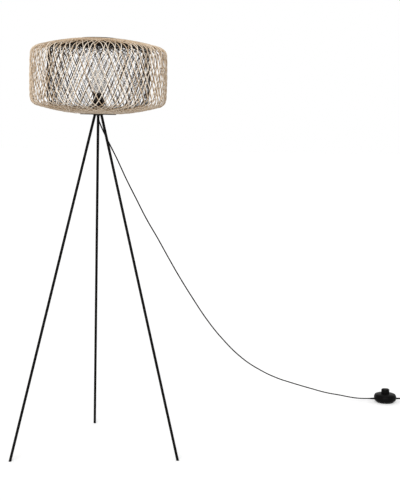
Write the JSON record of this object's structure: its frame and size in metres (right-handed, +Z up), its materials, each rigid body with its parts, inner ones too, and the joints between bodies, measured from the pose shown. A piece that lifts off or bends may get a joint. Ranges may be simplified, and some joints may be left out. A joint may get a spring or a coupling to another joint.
{
  "type": "floor lamp",
  "caption": "Floor lamp with three slim black metal legs and a wide double-walled woven rattan drum shade; black lead with a round foot switch and a flat plug.",
  "frame": {"origin": "on the floor, under the middle of the lamp's own box of shade and legs, its lead left out; the lamp's upright axis passes 52.6 mm in front of it", "axes": "+Z up along the lamp's upright axis, -Y towards the front, between the two front legs; the third leg is at +Y and the lead runs off towards +X and +Y"},
  "size_m": [1.7935, 1.0923, 1.5247],
  "materials": {
    "black_steel": "satin black powder coat",
    "black_plastic": "satin moulded",
    "black_rubber": "matte",
    "plain_steel": "zinc plated",
    "brass": "plain",
    "nickel": "nickel plated",
    "ceramic": "glazed ceramic, shown as white moulding",
    "rattan": "natural rattan strips, clear satin",
    "dark_rattan": "rattan strips stained dark",
    "opal": "opal diffuser",
    "white_plastic": "matte moulded",
    "copper": "insulated copper core"
  },
  "bodies": {
    "lamp": {"leg_rear": "black_steel", "leg_stud_rear": "plain_steel", "foot_cap_rear": "black_rubber", "leg_left": "black_steel", "leg_stud_left": "plain_steel", "foot_cap_left": "black_rubber", "leg_right": "black_steel", "leg_stud_right": "plain_steel", "foot_cap_right": "black_rubber", "leg_hub": "black_steel", "hub_nipple": "plain_steel", "nipple_lock_nut": "plain_steel", "outer_weave": "rattan", "inner_weave": "dark_rattan", "shade_top_ring": "black_steel", "shade_bottom_ring": "black_steel", "shade_carrier": "black_steel", "holder_cap": "black_plastic", "holder_shell": "black_plastic", "holder_block": "ceramic", "holder_screw_shell": "nickel", "holder_centre_contact": "brass", "holder_terminal_live": "brass", "holder_terminal_neutral": "brass", "terminal_screw_live": "plain_steel", "terminal_screw_neutral": "plain_steel", "shade_clamp_ring": "black_plastic", "bulb_contact": "plain_steel", "bulb_insulator": "black_plastic", "bulb_screw_cap": "nickel", "bulb_body": "white_plastic", "bulb_light_board": "white_plastic", "bulb_dome": "opal", "cord_tail_holder": "black_plastic", "cord_core_live": "copper", "cord_core_neutral": "copper", "hub_cord_boot": "black_rubber", "switch_pad": "black_rubber", "switch_base": "black_plastic", "switch_cover": "black_plastic", "switch_spring": "plain_steel", "switch_block": "ceramic", "switch_terminal_out": "brass", "switch_terminal_in": "brass", "cord_tail_switch_out": "black_plastic", "cord_tail_switch_in": "black_plastic", "switch_screw_1": "plain_steel", "switch_screw_2": "plain_steel", "switch_screw_3": "plain_steel", "switch_boot_out": "black_rubber", "switch_boot_in": "black_rubber", "cord_to_switch": "black_plastic", "cord_to_coil": "black_plastic", "cord_coil": "black_plastic", "cord_to_plug": "black_plastic", "plug_boot": "black_rubber", "plug_body": "black_plastic", "plug_pin_right": "nickel", "plug_pin_left": "nickel"},
    "foot_switch_button": {"switch_button": "black_plastic"}
  },
  "joints": [
    {"name": "foot_switch_press", "type": "slide", "parent": "lamp", "child": "foot_switch_button", "axis": [0, 0, -1], "range_m": [0, 0.003], "stiffness_N_per_m": 800, "deforming": ["switch_spring"]}
  ]
}
